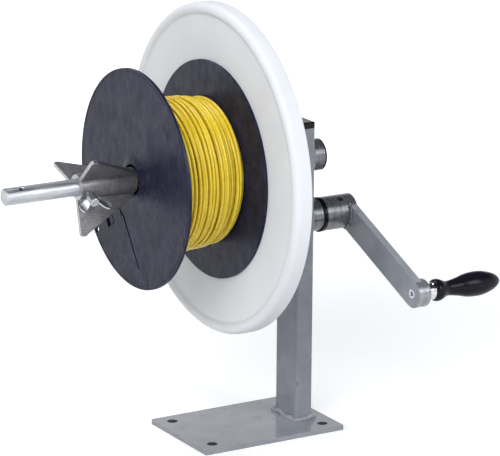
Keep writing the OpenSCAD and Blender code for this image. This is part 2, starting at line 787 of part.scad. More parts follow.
// Thread, collar and two wings, each pressed into a trough and cut to a rounded ear
module wing_screw() {
    half = wing_span / 2;
    trough = curve([for (p = TROUGH) [p.x * half, p.y * wing_dip]], 3);
    ear = curve([for (p = EAR) [p.x * half, p.y]], 3);
    tip_gap = 0.15;
    tip = shaft_d / 2 + tip_gap;
    chamfer = 1;
    tall = 4 * wing_collar_at;
    color("#b4b7bb") on_radius(wing_x, shaft_z, wing_angle) {
        translate([0, 0, tip]) cylinder(d = wing_thread_d, h = wing_collar_at - tip + 1);
        translate([0, 0, wing_collar_at]) {
            cylinder(d = wing_collar_d, h = wing_collar_l - chamfer);
            translate([0, 0, wing_collar_l - chamfer])
                cylinder(d1 = wing_collar_d, d2 = wing_collar_d - 2 * chamfer, h = chamfer);
        }
        for (side = [0, 1]) mirror([side, 0, 0]) intersection() {
            linear_extrude(tall) polygon(strip(trough, wing_t));
            translate([0, 0, wing_collar_at + wing_collar_l]) rotate([90, 0, 0])
                linear_extrude(wing_span, center = true) polygon(ear);
        }
    }
}

module crank_shaft() {
    color("#c3c6cb") difference() {
        on_axis(0, crank_z) bar(crank_front, crank_hub_rear - 1, crank_d, 1, crank_clip_x - circlip_t);
        on_axis(key_x, crank_z) clock(90) key_block(crank_d, 0, 0, key_l);
    }
}

module crank_gear() { gear(crank_z, crank_teeth, crank_d, crank_gear_hub, 90); }

module crank_gear_key() { gear_key(crank_z, crank_d); }

module crank_gear_screw() { gear_screw(crank_z, crank_d, crank_gear_hub); }

module crank_washer() { washer(crank_clip_x, crank_z, crank_d + 12, crank_d); }

module crank_circlip() { circlip(crank_clip_x - circlip_t, crank_z, crank_d); }

module crank_hub() {
    color("#83868e") difference() {
        on_axis(crank_hub_front, crank_z) ring(crank_hub_d, crank_d, crank_hub_rear - crank_hub_front);
        on_radius(crank_hub_rear - hub_screw_back, crank_z, hub_screw_angle)
            cylinder(d = hub_screw_d, h = crank_hub_d);
    }
}

module crank_set_screw() {
    screw_l = 8;
    color("#26262a") on_radius(crank_hub_rear - hub_screw_back, crank_z, hub_screw_angle) difference() {
        translate([0, 0, crank_d / 2]) cylinder(d = hub_screw_d, h = screw_l);
        translate([0, 0, crank_d / 2 + screw_l - 3]) cylinder(d = 0.58 * hub_screw_d, h = 4, $fn = 6);
    }
}

// Flat bar that ends in saddles on the hub and on the handle's boss
module crank_arm() {
    color("#7b7e86") on_axis(arm_front, crank_z) clock(crank_angle) difference() {
        translate([0, -arm_w / 2, 0]) cube([crank_r, arm_w, arm_t]);
        translate([0, 0, -1]) cylinder(d = crank_hub_d, h = arm_t + 2);
        translate([crank_r, 0, -1]) cylinder(d = handle_boss_d, h = arm_t + 2);
    }
}

// Round boss, flush with the arm's front and standing out behind it
module handle_boss() {
    r = handle_boss_d / 2;
    e = handle_boss_edge;
    color("#83868e") on_axis(arm_front, crank_z) clock(crank_angle) translate([crank_r, 0, 0])
        rotate_extrude() difference() {
            union() {
                square([r, handle_boss_l - e]);
                square([r - e, handle_boss_l]);
                translate([r - e, handle_boss_l - e]) circle(e);
            }
            translate([-1, -1]) square([spindle_thread_d / 2 + 1, handle_boss_l + 2]);
        }
}

// Fillet between the hub and the arm's front, and between the arm's back and the boss
module crank_welds() {
    hub_reach = asin(arm_w / crank_hub_d);
    boss_reach = 62;
    boss_leg = 3;
    bead = [[0, 0], [arm_weld, 0], [0, -arm_weld]];
    color("#868991") on_axis(arm_front, crank_z) clock(crank_angle) {
        rotate([0, 0, -hub_reach]) rotate_extrude(angle = 2 * hub_reach)
            translate([crank_hub_d / 2, 0]) polygon(bead);
        translate([crank_r, 0, arm_t]) rotate([0, 0, 180 - boss_reach])
            rotate_extrude(angle = 2 * boss_reach) translate([handle_boss_d / 2, 0])
                polygon([[0, 0], [boss_leg, 0], [0, boss_leg]]);
    }
}

// Thread in the boss, collar in front of the grip, and a pin that the grip turns on
module grip_spindle() {
    waist_r = 9;
    waist_depth = 1;
    socket_t = 5;
    color("#d4d6da") on_axis(arm_front, crank_z) clock(crank_angle) translate([crank_r, 0, 0])
        difference() {
            union() {
                cylinder(d = spindle_thread_d, h = handle_boss_l + 1);
                translate([0, 0, handle_boss_l]) rotate_extrude() difference() {
                    square([spindle_collar_d / 2, spindle_collar_l]);
                    translate([spindle_collar_d / 2 + waist_r - waist_depth, spindle_collar_l / 2])
                        circle(waist_r);
                }
                cylinder(d = spindle_pin_d, h = handle_boss_l + spindle_collar_l + pin_in_grip);
            }
            translate([0, 0, -1]) cylinder(d = socket_af / cos(30), h = socket_t + 1, $fn = 6);
        }
}

// Turned grip with a rolled front lip, a waist and a full belly
module grip() {
    points = [for (p = GRIP) [p[1] * grip_r, p[0] * grip_l]];
    color("#121214") on_axis(grip_front, crank_z) clock(crank_angle) translate([crank_r, 0, 0])
        difference() {
            rotate_extrude() polygon(concat([[0, 0]], curve(points, 4), [[0, grip_l]]));
            translate([0, 0, -1]) cylinder(d = spindle_pin_d + 2 * play, h = pin_in_grip + 2);
        }
}

base_plate();
column();
base_weld();
column_cap();
upper_bearing_tube();
lower_bearing_tube();
tube_welds();
upper_front_bush();
upper_rear_bush();
lower_front_bush();
lower_rear_bush();
spool_shaft();
spool_gear();
spool_gear_key();
spool_gear_screw();
spacer_tube();
disc_hub();
disc_hub_pin();
backing_disc();
disc_screws();
driver_pin();
spool_washer();
spool_circlip();
reel_front_flange();
reel_core();
reel_rear_flange();
wire_winding();
cone_hub();
cone_fin_1();
cone_fin_2();
cone_fin_3();
cone_welds();
wing_screw();
crank_shaft();
crank_gear();
crank_gear_key();
crank_gear_screw();
crank_washer();
crank_circlip();
crank_hub();
crank_arm();
handle_boss();
crank_welds();
crank_set_screw();
grip_spindle();
grip();
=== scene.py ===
import json
import math

import bmesh
import bpy
from mathutils import Matrix, Vector, noise


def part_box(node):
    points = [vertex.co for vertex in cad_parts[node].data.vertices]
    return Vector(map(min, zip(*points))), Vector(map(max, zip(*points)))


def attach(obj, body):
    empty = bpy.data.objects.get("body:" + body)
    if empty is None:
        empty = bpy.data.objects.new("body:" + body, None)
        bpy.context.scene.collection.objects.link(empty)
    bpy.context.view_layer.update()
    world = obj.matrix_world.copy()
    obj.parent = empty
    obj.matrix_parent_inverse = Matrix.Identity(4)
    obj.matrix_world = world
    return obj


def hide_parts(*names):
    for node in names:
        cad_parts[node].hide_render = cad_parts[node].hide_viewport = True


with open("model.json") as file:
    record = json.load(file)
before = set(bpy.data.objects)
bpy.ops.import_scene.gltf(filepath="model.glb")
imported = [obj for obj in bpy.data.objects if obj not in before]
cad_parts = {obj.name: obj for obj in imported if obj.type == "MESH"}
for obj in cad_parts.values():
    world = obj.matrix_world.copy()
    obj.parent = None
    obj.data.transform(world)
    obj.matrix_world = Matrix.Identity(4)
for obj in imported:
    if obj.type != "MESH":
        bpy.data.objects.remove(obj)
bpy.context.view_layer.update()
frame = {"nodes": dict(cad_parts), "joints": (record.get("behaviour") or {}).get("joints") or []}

MM = 0.001
NODES = frame["nodes"]
JOINTS = {joint["name"]: joint for joint in frame["joints"]}

# Camera solved from the photograph: angles in degrees, lengths in metres, focal length in pixels
PHOTO_W = 500
SENSOR = 36.0
FOCAL_PX = 3199.58
AZIMUTH = 30.857
ELEVATION = 15.292
ROLL = 0.4517
DISTANCE = 4.061469
OFFSET_RIGHT = 0.054990
OFFSET_UP = -0.241338

# Axes of the shafts and the grip, from the frame's joints
COLUMN_X = JOINTS["spool_spin"]["pos_m"][0]
SPOOL_Z = JOINTS["spool_spin"]["pos_m"][2]
CRANK_Z = JOINTS["crank_turn"]["pos_m"][2]
GRIP_Y = JOINTS["grip_spin"]["pos_m"][1]
GRIP_Z = JOINTS["grip_spin"]["pos_m"][2]

# A wave texture of scale 1 has a band about every 0.3 m
WAVE_PERIOD = 0.3

# Weld beads: sides of the section, relief as shares of the radius, and how fast it changes, per metre
BEAD_SIDES = 10
BEAD_SWELL = 0.55
SWELL_RATE = 150
BEAD_SHIFT = 0.5
SHIFT_RATE = 90
BEAD_TAPER = 0.2


def radius_of(node, centre_z=SPOOL_Z):
    """Outer radius of a round CAD node about an axis along X."""
    low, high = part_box(node)
    return max(high.z - centre_z, centre_z - low.z)


def span_of(node):
    """Front and rear ends of a CAD node along X."""
    low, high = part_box(node)
    return low.x, high.x


def bearing_tubes():
    """The bearing tubes' names with the heights of their axes."""
    return (("upper_bearing_tube", SPOOL_Z), ("lower_bearing_tube", CRANK_Z))


def arc(cx, cr, radius, start, end, steps):
    """Points (x, r) of an arc; angles in degrees, 0 towards the rear and 90 away from the axis."""
    points = []
    for i in range(steps + 1):
        a = math.radians(start + (end - start) * i / steps)
        points.append((cx + radius * math.cos(a), cr + radius * math.sin(a)))
    return points


# Materials


class Shader:
    """A Principled material whose colour, roughness and bump come from procedural textures."""

    def __init__(self, name, roughness, metallic=0.0, specular=0.5):
        self.material = bpy.data.materials.new(name)
        self.material.use_nodes = True
        self.nodes = self.material.node_tree.nodes
        self.links = self.material.node_tree.links
        self.bsdf = self.nodes["Principled BSDF"]
        self.bsdf.inputs["Roughness"].default_value = roughness
        self.bsdf.inputs["Metallic"].default_value = metallic
        self.bsdf.inputs["Specular IOR Level"].default_value = specular
        self.coordinates = self.nodes.new("ShaderNodeTexCoord")
        self.last_normal = None

    def place(self, scale):
        """Object coordinates, stretched by a scale for each axis."""
        mapping = self.nodes.new("ShaderNodeMapping")
        mapping.inputs["Scale"].default_value = scale
        self.links.new(self.coordinates.outputs["Object"], mapping.inputs["Vector"])
        return mapping.outputs["Vector"]

    def noise(self, size, detail=3.0, roughness=0.5, stretch=(1, 1, 1), distortion=0.0):
        """Noise whose features are about size metres wide."""
        texture = self.nodes.new("ShaderNodeTexNoise")
        texture.inputs["Scale"].default_value = 1.0 / size
        texture.inputs["Detail"].default_value = detail
        texture.inputs["Roughness"].default_value = roughness
        texture.inputs["Distortion"].default_value = distortion
        self.links.new(self.place(stretch), texture.inputs["Vector"])
        return texture.outputs["Fac"]

    def bands(self, size, axis="X"):
        """Fine lines across an axis, as a lathe tool leaves them."""
        wave = self.nodes.new("ShaderNodeTexWave")
        wave.bands_direction = axis
        wave.inputs["Scale"].default_value = WAVE_PERIOD / size
        wave.inputs["Distortion"].default_value = 2.0
        wave.inputs["Detail"].default_value = 3.0
        wave.inputs["Detail Scale"].default_value = 4.0
        self.links.new(self.place((1, 1, 1)), wave.inputs["Vector"])
        return wave.outputs["Fac"]

    def ramp(self, value, stops):
        """Maps a value to colours; stops are (position, colour)."""
        ramp = self.nodes.new("ShaderNodeValToRGB")
        elements = ramp.color_ramp.elements
        while len(elements) < len(stops):
            elements.new(0.5)
        for element, (position, colour) in zip(elements, stops):
            element.position = position
            element.color = (*colour, 1.0)
        self.links.new(value, ramp.inputs["Fac"])
        return ramp.outputs["Color"]

    def mix(self, value, a, b):
        """Colour between outputs a and b by value."""
        mix = self.nodes.new("ShaderNodeMix")
        mix.data_type = "RGBA"
        self.links.new(value, mix.inputs["Factor"])
        self.links.new(a, mix.inputs[6])
        self.links.new(b, mix.inputs[7])
        return mix.outputs[2]

    def scale(self, value, low, high, start=0.3, end=0.7):
        """A value from low to high as the input goes from start to end."""
        node = self.nodes.new("ShaderNodeMapRange")
        node.inputs["From Min"].default_value = start
        node.inputs["From Max"].default_value = end
        node.inputs["To Min"].default_value = low
        node.inputs["To Max"].default_value = high
        self.links.new(value, node.inputs["Value"])
        return node.outputs["Result"]

    def colour(self, output):
        self.links.new(output, self.bsdf.inputs["Base Color"])

    def roughness(self, output):
        self.links.new(output, self.bsdf.inputs["Roughness"])

    def bump(self, height, strength, distance):
        """Adds a bump layer over those already there."""
        node = self.nodes.new("ShaderNodeBump")
        node.inputs["Strength"].default_value = strength
        node.inputs["Distance"].default_value = distance
        self.links.new(height, node.inputs["Height"])
        if self.last_normal is not None:
            self.links.new(self.last_normal, node.inputs["Normal"])
        self.last_normal = node.outputs["Normal"]
        self.links.new(self.last_normal, self.bsdf.inputs["Normal"])


def mottled(shader, dark, light, size, detail=4.0, stretch=(1, 1, 1)):
    """Colour that drifts between two shades."""
    clouds = shader.noise(size, detail, 0.55, stretch)
    shader.colour(shader.ramp(clouds, [(0.35, dark), (0.65, light)]))


def grey_paint(name, specular):
    """Gloss grey paint with orange peel and a few dark rubbed strokes."""
    s = Shader(name, roughness=0.26, specular=specular)
    base = s.ramp(s.noise(0.03, 4.0), [(0.35, (0.258, 0.268, 0.3)), (0.65, (0.302, 0.313, 0.346))])
    rubbed = s.ramp(s.noise(0.02, 2.0), [(0.3, (0.13, 0.135, 0.152)), (0.7, (0.17, 0.176, 0.194))])
    strokes = s.noise(0.011, 4.0, 0.6, (1, 0.28, 1), 0.4)
    s.colour(s.mix(s.scale(strokes, 0.0, 0.75, 0.63, 0.72), base, rubbed))
    s.roughness(s.scale(s.noise(0.014, 3.0), 0.11, 0.23))
    s.bump(s.noise(0.0022, 2.0), 0.06, 0.0003)
    return s.material


def turned_paint(name, dark, light):
    """Thin glossy paint over turned steel: metal glints along the tool lines."""
    s = Shader(name, roughness=0.3, metallic=0.55, specular=0.5)
    lines = s.noise(0.0022, 3.0, 0.6, (1, 0.08, 0.08))
    s.colour(s.ramp(lines, [(0.3, dark), (0.7, light)]))
    s.roughness(s.scale(s.noise(0.004, 3.0, 0.5, (1, 0.2, 0.2)), 0.2, 0.32))
    s.bump(lines, 0.12, 0.0004)
    s.bump(s.bands(0.0012), 0.1, 0.0002)
    return s.material


def white_disc_plastic():
    s = Shader("white_disc_plastic", roughness=0.44, specular=0.3)
    mottled(s, (0.745, 0.76, 0.8), (0.79, 0.805, 0.842), 0.09)
    s.roughness(s.scale(s.noise(0.02), 0.38, 0.5))
    s.bump(s.noise(0.05, 1.0), 0.08, 0.001)
    s.bump(s.noise(0.0015, 2.0), 0.05, 0.0002)
    return s.material


def reel_plastic():
    """Recycled slate-black plastic: flow marks, fine grain and dull scuffs."""
    s = Shader("reel_plastic", roughness=0.36, specular=0.16)
    flow_noise = s.noise(0.026, 5.0, 0.6, (1, 1, 0.8), 0.6)
    flow = s.ramp(flow_noise, [(0.34, (0.004, 0.005, 0.017)), (0.66, (0.019, 0.021, 0.052))])
    scuff_noise = s.noise(0.005, 5.0, 0.7, (1, 1, 0.55))
    scuff = s.ramp(scuff_noise, [(0.42, (0.006, 0.007, 0.02)), (0.72, (0.056, 0.062, 0.105))])
    s.colour(s.mix(s.scale(s.noise(0.05, 3.0), 0.0, 0.6), flow, scuff))
    s.roughness(s.scale(s.noise(0.012, 5.0, 0.6, (1, 1, 0.7)), 0.26, 0.5))
    s.bump(s.noise(0.0012, 3.0, 0.6), 0.3, 0.0003)
    s.bump(s.noise(0.014, 3.0, 0.5, (1, 1, 0.7)), 0.35, 0.0009)
    return s.material


def black_plastic():
    s = Shader("black_plastic", roughness=0.16, specular=0.13)
    mottled(s, (0.004, 0.004, 0.005), (0.008, 0.008, 0.01), 0.01)
    s.roughness(s.scale(s.noise(0.004), 0.12, 0.22))
    s.bump(s.noise(0.0009, 2.0), 0.1, 0.0002)
    return s.material


def yellow_insulation():
    """Soft PVC: the shade shifts a little from turn to turn."""
    s = Shader("yellow_insulation", roughness=0.36, specular=0.5)
    broad = s.noise(0.03, 3.0, 0.5, (5.0, 1, 1))
    yellows = [(0.3, (0.81, 0.58, 0.03)), (0.55, (0.88, 0.655, 0.043)), (0.75, (0.92, 0.715, 0.066))]
    s.colour(s.ramp(broad, yellows))
    s.roughness(s.scale(s.noise(0.006), 0.22, 0.36))
    s.bump(s.noise(0.0012, 2.0), 0.06, 0.0002)
    return s.material


def zinc_plate(name, axis, low, high):
    """Bright zinc over drawn steel: fine lines, faint clouds and small scratches."""
    s = Shader(name, roughness=0.4, metallic=1.0)
    mottled(s, (0.42, 0.435, 0.465), (0.54, 0.555, 0.58), 0.006, 4.0, (0.15, 1, 1))
    s.roughness(s.scale(s.noise(0.006, 4.0, 0.6, (0.2, 1, 1)), low, high))
    s.bump(s.bands(0.0007, axis), 0.05, 0.0001)
    s.bump(s.noise(0.0035, 4.0, 0.6, (0.07, 1, 1)), 0.5, 0.0006)
    return s.material


def bare_steel(name, streak=(1, 4, 4)):
    """Hot-rolled steel, wire brushed: grey with darker scale and fine streaks."""
    s = Shader(name, roughness=0.42, metallic=0.85)
    scale_greys = [(0.3, (0.13, 0.127, 0.14)), (0.7, (0.262, 0.257, 0.274))]
    brushed_greys = [(0.35, (0.158, 0.155, 0.168)), (0.7, (0.38, 0.374, 0.392))]
    scale = s.ramp(s.noise(0.008, 6.0, 0.65), scale_greys)
    streaks = s.ramp(s.noise(0.006, 5.0, 0.7, streak), brushed_greys)
    s.colour(s.mix(s.scale(s.noise(0.012), 0.2, 0.8), scale, streaks))
    s.roughness(s.scale(s.noise(0.005, 4.0), 0.32, 0.52))
    s.bump(s.noise(0.0015, 4.0, 0.6, streak), 0.22, 0.0003)
    return s.material


def cut_steel_and_painted_highlight():
    """The brighter face that a saw or torch leaves on the same steel; given only to faces that look to
    the front, it is also a painted highlight there.
    """
    s = Shader("cut_steel_and_painted_highlight", roughness=0.4, metallic=0.9)
    mottled(s, (0.33, 0.327, 0.345), (0.52, 0.516, 0.535), 0.004, 5.0)
    s.roughness(s.scale(s.noise(0.003, 4.0), 0.3, 0.5))
    s.bump(s.noise(0.0012, 4.0, 0.6, (1, 3, 1)), 0.3, 0.0003)
    return s.material


def weld_metal():
    """Brighter, lumpy bead beside bare steel."""
    s = Shader("weld_metal", roughness=0.34, metallic=0.85)
    mottled(s, (0.22, 0.215, 0.225), (0.42, 0.415, 0.425), 0.003, 4.0)
    s.bump(s.noise(0.0018, 3.0), 0.5, 0.0006)
    return s.material


def machined_steel():
    s = Shader("machined_steel", roughness=0.32, metallic=1.0)
    mottled(s, (0.34, 0.345, 0.355), (0.48, 0.485, 0.495), 0.01, 4.0)
    s.roughness(s.scale(s.noise(0.004, 4.0), 0.25, 0.42))
    s.bump(s.bands(0.0009), 0.15, 0.0001)
    return s.material


def black_steel():
    s = Shader("black_steel", roughness=0.4, metallic=0.6)
    mottled(s, (0.018, 0.018, 0.02), (0.045, 0.045, 0.048), 0.003)
    s.bump(s.noise(0.0008), 0.15, 0.0001)
    return s.material


def chrome_plate():
    s = Shader("chrome_plate", roughness=0.12, metallic=1.0)
    mottled(s, (0.62, 0.63, 0.65), (0.68, 0.69, 0.71), 0.02, 2.0)
    s.roughness(s.scale(s.noise(0.006), 0.1, 0.16))
    s.bump(s.bands(0.0006), 0.03, 0.0001)
    return s.material


def polished_black():
    """Polished black thermoset with faint moulding ripples."""
    s = Shader("polished_black", roughness=0.18, specular=0.13)
    mottled(s, (0.006, 0.005, 0.01), (0.01, 0.009, 0.016), 0.008)
    s.roughness(s.scale(s.noise(0.006), 0.13, 0.24))
    s.bump(s.noise(0.008, 1.0), 0.05, 0.0004)
    return s.material


PAINT = grey_paint("grey_paint_flat", 0.12)
PAINT_PLATE = grey_paint("grey_paint_plate", 0.5)
PAINT_TURNED = turned_paint("grey_paint_turned", (0.115, 0.12, 0.134), (0.22, 0.226, 0.246))
PAINT_BOSS = turned_paint("grey_paint_boss", (0.22, 0.228, 0.25), (0.33, 0.338, 0.366))
WHITE = white_disc_plastic()
REEL = reel_plastic()
BLACK = black_plastic()
YELLOW = yellow_insulation()
ZINC = zinc_plate("zinc_turned", "X", 0.36, 0.52)
ZINC_PRESSED = zinc_plate("zinc_pressed", "Z", 0.25, 0.38)
STEEL = bare_steel("bare_steel_plate")
STEEL_TUBE = bare_steel("bare_steel_tube", (6, 1, 1))
CUT_STEEL_AND_PAINTED_HIGHLIGHT = cut_steel_and_painted_highlight()
WELD = weld_metal()
MACHINED = machined_steel()
BLACK_STEEL = black_steel()
CHROME = chrome_plate()
POLISHED = polished_black()


# Meshes


def finish_piece(obj, material, body, node):
    """Gives a new piece its material and body, and hides the CAD node that it stands for."""
    obj.data.materials.clear()
    obj.data.materials.append(material)
    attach(obj, body)
    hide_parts(node)


def object_from(name, bm):
    """A smooth object from a bmesh, which is freed."""
    mesh = bpy.data.meshes.new(name)
    bmesh.ops.recalc_face_normals(bm, faces=bm.faces)
    bm.to_mesh(mesh)
    bm.free()
    mesh.shade_smooth()
    obj = bpy.data.objects.new(name, mesh)
    bpy.context.scene.collection.objects.link(obj)
    return obj


def join_rings(bm, rings):
    """Faces from each ring of points to the next."""
    for a, b in zip(rings, rings[1:]):
        for k in range(len(a)):
            m = (k + 1) % len(a)
            bm.faces.new((a[k], b[k], b[m], a[m]))


def cap_ends(bm, rings):
    """Faces over the first and the last ring."""
    bm.faces.new(rings[0])
    bm.faces.new(rings[-1])


def lathe(name, profile, segments):
    """A ring: a closed outline of points (x, r), in metres, revolved about the spool's axis."""
    bm = bmesh.new()
    rings = []
    for x, r in profile:
        ring = []
        for i in range(segments):
            a = 2 * math.pi * i / segments
            ring.append(bm.verts.new((x, r * math.cos(a), SPOOL_Z + r * math.sin(a))))
        rings.append(ring)
    join_rings(bm, rings + rings[:1])
    return object_from(name, bm)


def apply_modifiers(obj):
    """Turns the modifiers' result into the object's own mesh."""
    graph = bpy.context.evaluated_depsgraph_get()
    mesh = bpy.data.meshes.new_from_object(obj.evaluated_get(graph))
    obj.modifiers.clear()
    obj.data = mesh


def radial_normals(obj, y, z):
    """Exact normals on the faces that are round about an axis along X, and flat ones elsewhere."""
    mesh = obj.data
    least_radial = 0.985
    normals = []
    for polygon in mesh.polygons:
        radial = Vector((0, polygon.center.y - y, polygon.center.z - z)).normalized()
        facing = radial.dot(polygon.normal)
        is_round = abs(facing) > least_radial
        for index in polygon.vertices:
            place = mesh.vertices[index].co
            outward = Vector((0, place.y - y, place.z - z)).normalized()
            normals.append(outward * math.copysign(1, facing) if is_round else polygon.normal.copy())
    mesh.normals_split_custom_set(normals)


def softened(name, node, width, material, body, segments=3, axis=None):
    """A copy of a CAD node whose sharp edges are rounded, standing for that node."""
    same_place = 2e-6
    same_plane = math.radians(0.5)
    sharp_edge = math.radians(28)
    mesh = NODES[node].data.copy()
    obj = bpy.data.objects.new(name, mesh)
    bpy.context.scene.collection.objects.link(obj)
    bm = bmesh.new()
    bm.from_mesh(mesh)
    bmesh.ops.remove_doubles(bm, verts=bm.verts, dist=same_place)
    bmesh.ops.dissolve_limit(bm, angle_limit=same_plane, verts=bm.verts, edges=bm.edges)
    bm.to_mesh(mesh)
    bm.free()
    mesh.shade_smooth()
    bevel = obj.modifiers.new("edge", "BEVEL")
    bevel.width = width
    bevel.segments = segments
    bevel.limit_method = "ANGLE"
    bevel.angle_limit = sharp_edge
    weighted = obj.modifiers.new("flat_faces", "WEIGHTED_NORMAL")
    weighted.mode = "FACE_AREA"
    weighted.weight = 100
    apply_modifiers(obj)
    if axis is not None:
        radial_normals(obj, *axis)
    finish_piece(obj, material, body, node)
    return obj


def front_faces(obj, material):
    """Another material for the faces that look to the front."""
    forward = -0.3
    obj.data.materials.append(material)
    for polygon in obj.data.polygons:
        if polygon.normal.x < forward:
            polygon.material_index = 1


def dress(node, material):
    """Gives a CAD node that stays visible its finish."""
    mesh = NODES[node].data
    mesh.materials.clear()
    mesh.materials.append(material)


# Pieces


def weld_bead(bm, path, radius, normal, seed, closed=True):
    """Adds a lumpy bead along points in the plane of a normal; an open one tapers at its ends."""
    rings = []
    count = len(path)
    last = count - 1
    for i, point in enumerate(path):
        after = path[(i + 1) % count] if closed else path[min(i + 1, last)]
        before = path[i - 1] if closed else path[max(i - 1, 0)]
        across = (after - before).normalized().cross(normal).normalized()
        taper = 1 if closed else min(1, BEAD_TAPER + BEAD_TAPER * min(i, last - i))
        swell = taper * (1 + BEAD_SWELL * noise.noise(point * SWELL_RATE + Vector((seed, 0, 0))))
        shift = radius * BEAD_SHIFT * noise.noise(point * SHIFT_RATE + Vector((0, seed, 0)))
        ring = []
        for k in range(BEAD_SIDES):
            a = 2 * math.pi * k / BEAD_SIDES
            out = across * (radius * swell * math.cos(a) + shift)
            ring.append(bm.verts.new(point + out + normal * radius * swell * math.sin(a)))
        rings.append(ring)
    if closed:
        join_rings(bm, rings + rings[:1])
    else:
        join_rings(bm, rings)
        cap_ends(bm, rings)


def arc_path(x, radius, z, start, end, count):
    """Points of an arc about an axis along X; angles in radians from +Y towards +Z."""
    angles = [start + (end - start) * i / count for i in range(count)]
    return [Vector((x, radius * math.cos(a), z + radius * math.sin(a))) for a in angles]


def make_base_weld():
    """Hand-laid bead round the column's foot, a little beyond its corners."""
    low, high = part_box("column")
    plate_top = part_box("base_plate")[1].z
    gap = 1.2 * MM
    spacing = 1.5 * MM
    bead = 3.6 * MM
    mean_rise = 1.4
    rise_change = 3.0
    corner_rate = 60
    side_rate = 3.5
    front = low.x - gap
    rear = high.x + gap
    left = low.y - gap
    right = high.y + gap
    corners = [(front, left), (rear, left), (rear, right), (front, right)]
    path = []
    for (x0, y0), (x1, y1) in zip(corners, corners[1:] + corners[:1]):
        steps = round(math.hypot(x1 - x0, y1 - y0) / spacing)
        for k in range(steps):
            t = k / steps
            wave = noise.noise(Vector((corner_rate * x0, corner_rate * y0, side_rate * t)))
            rise = (mean_rise + rise_change * wave) * MM
            path.append(Vector((x0 + t * (x1 - x0), y0 + t * (y1 - y0), plate_top + rise)))
    bm = bmesh.new()
    weld_bead(bm, path, bead, Vector((0, 0, 1)), 3.0)
    finish_piece(object_from("base_weld_bead", bm), PAINT_PLATE, "stand", "base_weld")


def make_tube_welds():
    """Beads round the bearing tubes, on the column's front and back."""
    low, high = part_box("column")
    outside_tube = 1.0 * MM
    off_column = 0.6 * MM
    bead = 2.4 * MM
    bm = bmesh.new()
    for node, z in bearing_tubes():
        radius = radius_of(node, z) + outside_tube
        for x in (low.x - off_column, high.x + off_column):
            path = arc_path(x, radius, z, 0, 2 * math.pi, 72)
            weld_bead(bm, path, bead, Vector((1, 0, 0)), 40 * x + z)
    finish_piece(object_from("tube_weld_beads", bm), PAINT, "stand", "tube_welds")


def painted_shade_hole_walls(obj, material):
    """Another material inside the holes that go down through the base plate; a darker one there is
    painted shade.
    """
    low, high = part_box("base_plate")
    margin = 3 * MM
    upright = 0.5
    obj.data.materials.append(material)
    for polygon in obj.data.polygons:
        x, y, _ = polygon.center
        inside = low.x + margin < x < high.x - margin and low.y + margin < y < high.y - margin
        if inside and abs(polygon.normal.z) < upright:
            polygon.material_index = 1


def make_stand():
    plate = softened("base_plate_soft", "base_plate", 0.6 * MM, PAINT_PLATE, "stand")
    # painted shade: the holes' walls get the darker turned paint
    painted_shade_hole_walls(plate, PAINT_TURNED)
    softened("column_soft", "column", 0.25 * MM, PAINT, "stand")
    make_base_weld()
    softened("column_cap_soft", "column_cap", 0.25 * MM, BLACK, "stand")
    for node, z in bearing_tubes():
        softened(node + "_soft", node, 0.5 * MM, PAINT_TURNED, "stand", axis=(0, z))
    make_tube_welds()
    for node in ("upper_front_bush", "upper_rear_bush", "lower_front_bush", "lower_rear_bush"):
        dress(node, BLACK)


def make_disc():
    """Backing disc: a flat face, a crease, a round bead and a wall behind it."""
    front, rear = span_of("backing_disc")
    outer = radius_of("backing_disc") - 1.2 * MM
    bead = 8 * MM
    wall = 3 * MM
    set_back = 4 * MM
    flat = front + set_back
    centre_x = flat + set_back
    centre_r = outer - bead
    bore = 18 * MM
    inner_ring = 60 * MM
    outer_ring = 120 * MM
    sharp_edge = math.radians(50)
    crease_r = centre_r - math.sqrt(bead**2 - (centre_x - flat) ** 2)
    crease_a = math.degrees(math.atan2(crease_r - centre_r, flat - centre_x))
    profile = [(flat, r) for r in (bore, inner_ring, outer_ring, crease_r - 4 * MM, crease_r - 1.2 * MM)]
    profile += arc(centre_x, centre_r, bead, crease_a % 360 - 4, 90, 26)
    profile += [(rear - wall / 2, outer)]
    profile += arc(rear - wall / 2, outer - wall / 2, wall / 2, 90, -90, 8)
    profile += [(centre_x, outer - wall)]
    profile += arc(centre_x, centre_r, bead - wall, 90, 246, 14)[1:]
    profile += [(flat + wall, r) for r in (crease_r - 2 * MM, outer_ring, bore)]
    obj = lathe("backing_disc_shell", profile, 256)
    obj.data.set_sharp_from_angle(angle=sharp_edge)
    finish_piece(obj, WHITE, "spool", "backing_disc")


def make_reel():
    for node in ("reel_front_flange", "reel_rear_flange"):
        softened(node + "_soft", node, 0.4 * MM, REEL, "reel", 2)
    dress("reel_core", REEL)


def add_tube(bm, path, radius, sides):
    """Adds a tube of one radius along an open path, with a cap on each end."""
    last = len(path) - 1
    rings = []
    for i, point in enumerate(path):
        tangent = (path[min(i + 1, last)] - path[max(i - 1, 0)]).normalized()
        across = tangent.cross(Vector((1, 0, 0))).normalized()
        other = tangent.cross(across)
        ring = []
        for k in range(sides):
            a = 2 * math.pi * k / sides
            ring.append(bm.verts.new(point + radius * (math.cos(a) * across + math.sin(a) * other)))
        rings.append(ring)
    join_rings(bm, rings)
    cap_ends(bm, rings)


